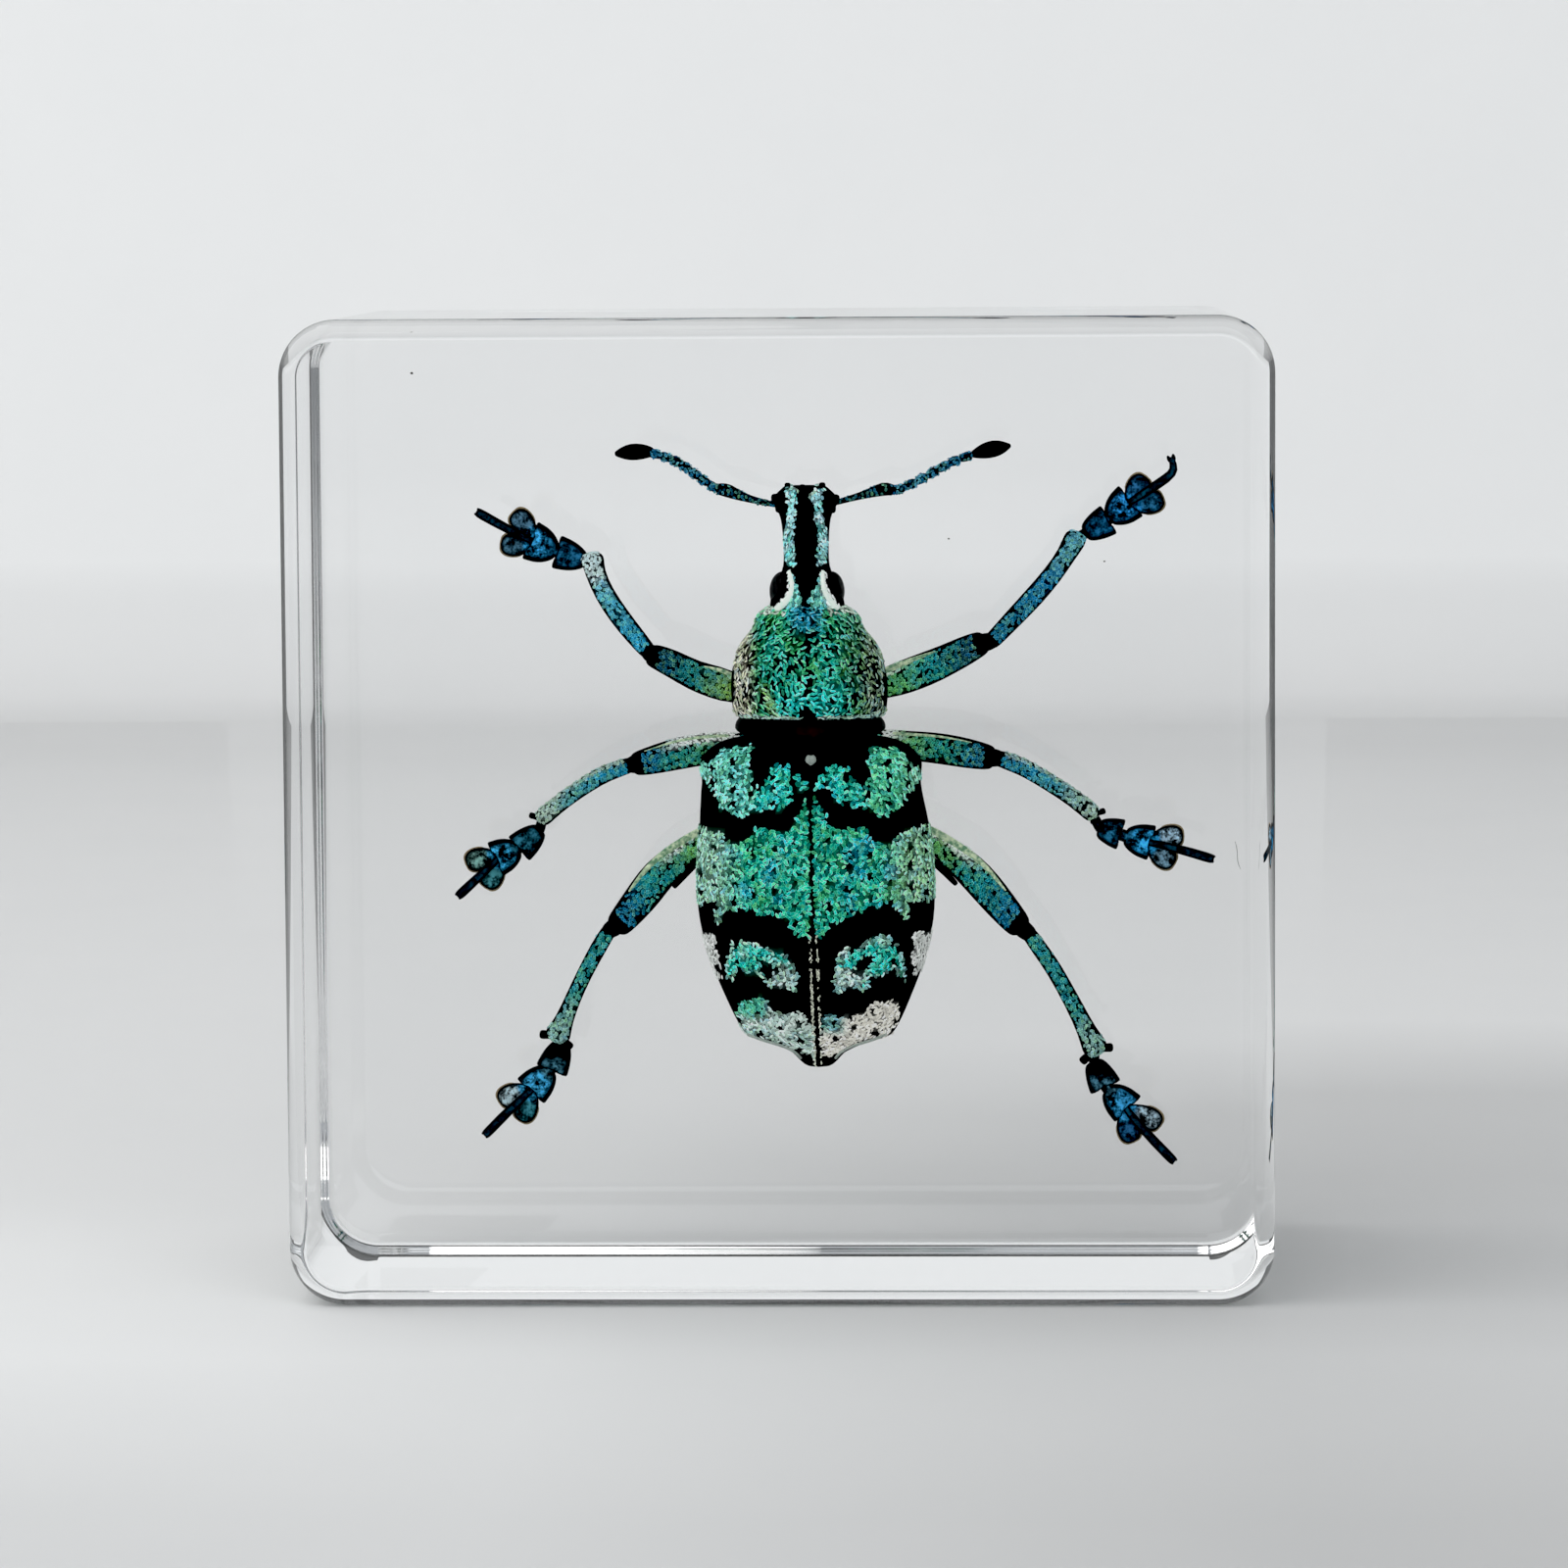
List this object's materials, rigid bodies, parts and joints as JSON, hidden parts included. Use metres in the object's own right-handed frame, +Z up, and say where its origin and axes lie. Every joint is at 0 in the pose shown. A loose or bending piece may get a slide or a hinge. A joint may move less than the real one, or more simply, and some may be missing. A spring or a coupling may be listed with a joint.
{
  "type": "insect in resin block",
  "caption": "Clear square resin block, standing on a narrow side, with a turquoise banded weevil cast in it, legs spread.",
  "frame": {"origin": "middle of the narrow side that the block stands on", "axes": "+Z up, -Y out of the large face that shows the insect's back, +X to the right as that face is seen"},
  "size_m": [0.045, 0.025, 0.045],
  "materials": {
    "clear_resin": "polished clear casting resin",
    "black_cuticle": "glossy black horn",
    "turquoise_scales": "satin scales",
    "blue_scales": "satin scales",
    "pale_scales": "satin scales"
  },
  "bodies": {
    "root": {"resin_block": "clear_resin"}
  },
  "joints": []
}
